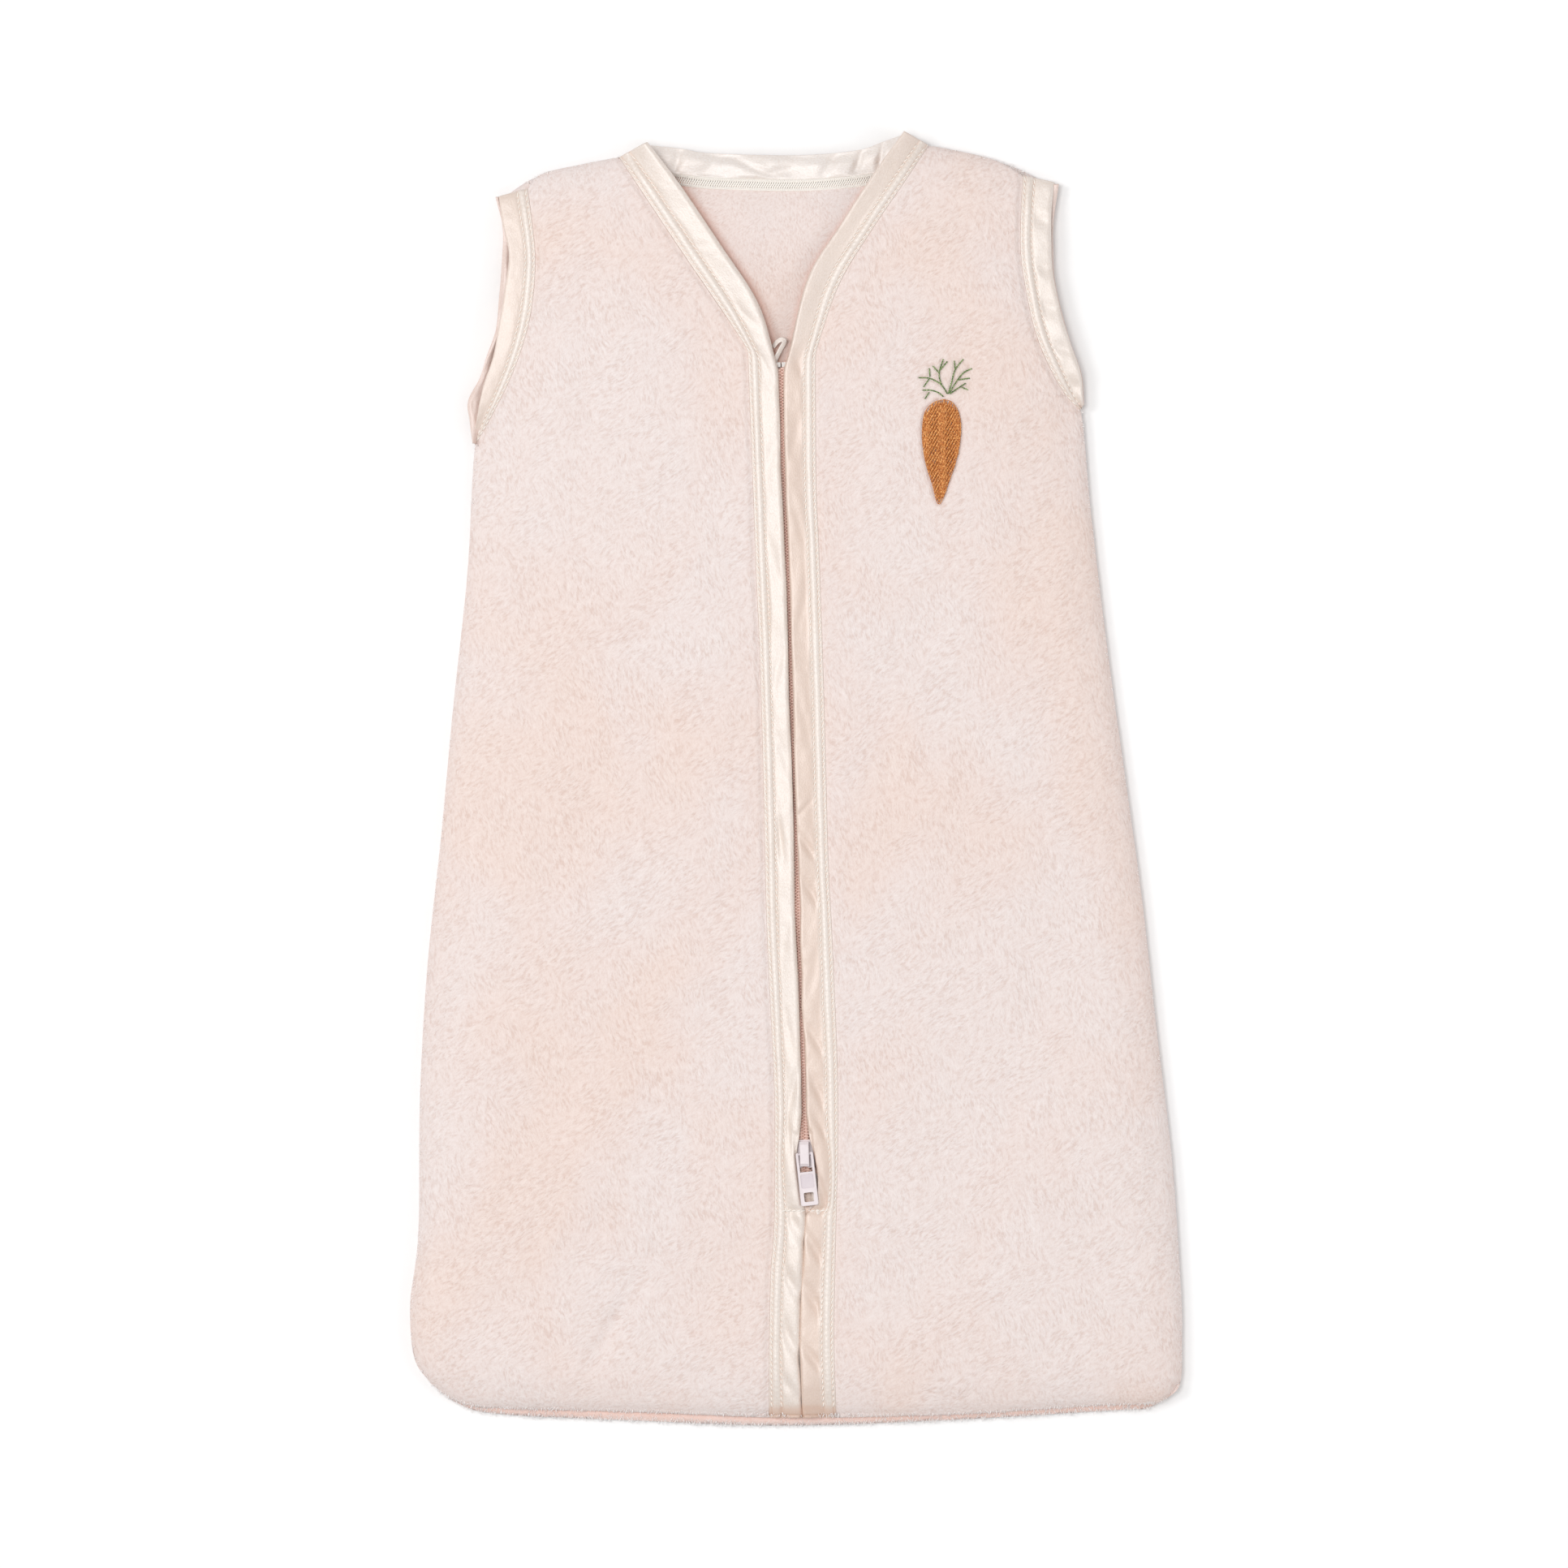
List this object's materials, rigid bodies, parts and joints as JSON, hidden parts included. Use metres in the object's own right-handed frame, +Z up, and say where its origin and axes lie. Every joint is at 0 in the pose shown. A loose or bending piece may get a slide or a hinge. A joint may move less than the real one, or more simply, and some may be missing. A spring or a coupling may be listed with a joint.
{
  "type": "baby sleeping bag",
  "caption": "Sleeveless plush wearable blanket for a baby, lying flat, with satin-bound neck, armholes and front placket over a coil zip, and a small embroidered carrot.",
  "frame": {"origin": "middle of the outline, on the underside that lies on a surface", "axes": "+X across the bag to its left-hand side as worn (right as laid out), +Y towards the neck, +Z up out of the front"},
  "size_m": [0.3639, 0.6085, 0.0216],
  "materials": {
    "plush": "short-pile plush, matt with a soft sheen",
    "satin": "satin weave, soft gloss",
    "thread": "spun sewing thread",
    "zip_tape": "woven tape, matt",
    "zip_coil": "moulded monofilament",
    "zip_metal": "satin enamel",
    "stop_plastic": "moulded",
    "root_thread": "rayon embroidery thread",
    "leaf_thread": "rayon embroidery thread",
    "backing": "non-woven"
  },
  "bodies": {
    "bag": {"back_panel": "plush", "front_panel_left": "plush", "front_panel_right": "plush", "neck_binding": "satin", "armhole_binding_left": "satin", "armhole_binding_right": "satin", "placket_binding_left": "satin", "placket_binding_right": "satin", "zip_tape_left": "zip_tape", "zip_tape_right": "zip_tape", "zip_coil_left": "zip_coil", "zip_coil_right": "zip_coil", "zip_top_stops": "stop_plastic", "zip_bottom_stop": "stop_plastic", "zip_top_guard": "zip_tape", "zip_end_tack": "thread", "embroidery_root": "root_thread", "embroidery_leaves": "leaf_thread", "embroidery_backing": "backing", "neck_stitching": "thread", "neck_back_coverstitch": "thread", "armhole_stitching_left": "thread", "armhole_stitching_right": "thread", "placket_stitching_left": "thread", "placket_stitching_right": "thread", "side_seam_left": "thread", "side_seam_right": "thread", "bottom_seam": "thread", "shoulder_seam_left": "thread", "shoulder_seam_right": "thread"},
    "zip_slider": {"zip_slider_body": "zip_metal", "zip_slider_crown": "zip_metal"},
    "zip_latch": {"zip_lock_spring": "zip_metal"},
    "pull_tab": {"zip_pull": "zip_metal"}
  },
  "joints": [
    {"name": "zip_slide", "type": "slide", "parent": "bag", "child": "zip_slider", "axis": [-0.0294, 0.9996, 0], "range_m": [0, 0.352]},
    {"name": "pull_swing", "type": "hinge", "parent": "zip_slider", "child": "pull_tab", "pos_m": [0.004, -0.175, 0.0196], "axis": [-0.994, -0.1097, 0], "range_deg": [0, 165]},
    {"name": "lock_lift", "type": "slide", "parent": "zip_slider", "child": "zip_latch", "axis": [0, 0, 1], "range_m": [0, 0.0008]}
  ],
  "couplings": [
    {"joint": "lock_lift", "follows": "pull_swing", "m_per_rad": 0.00024}
  ]
}
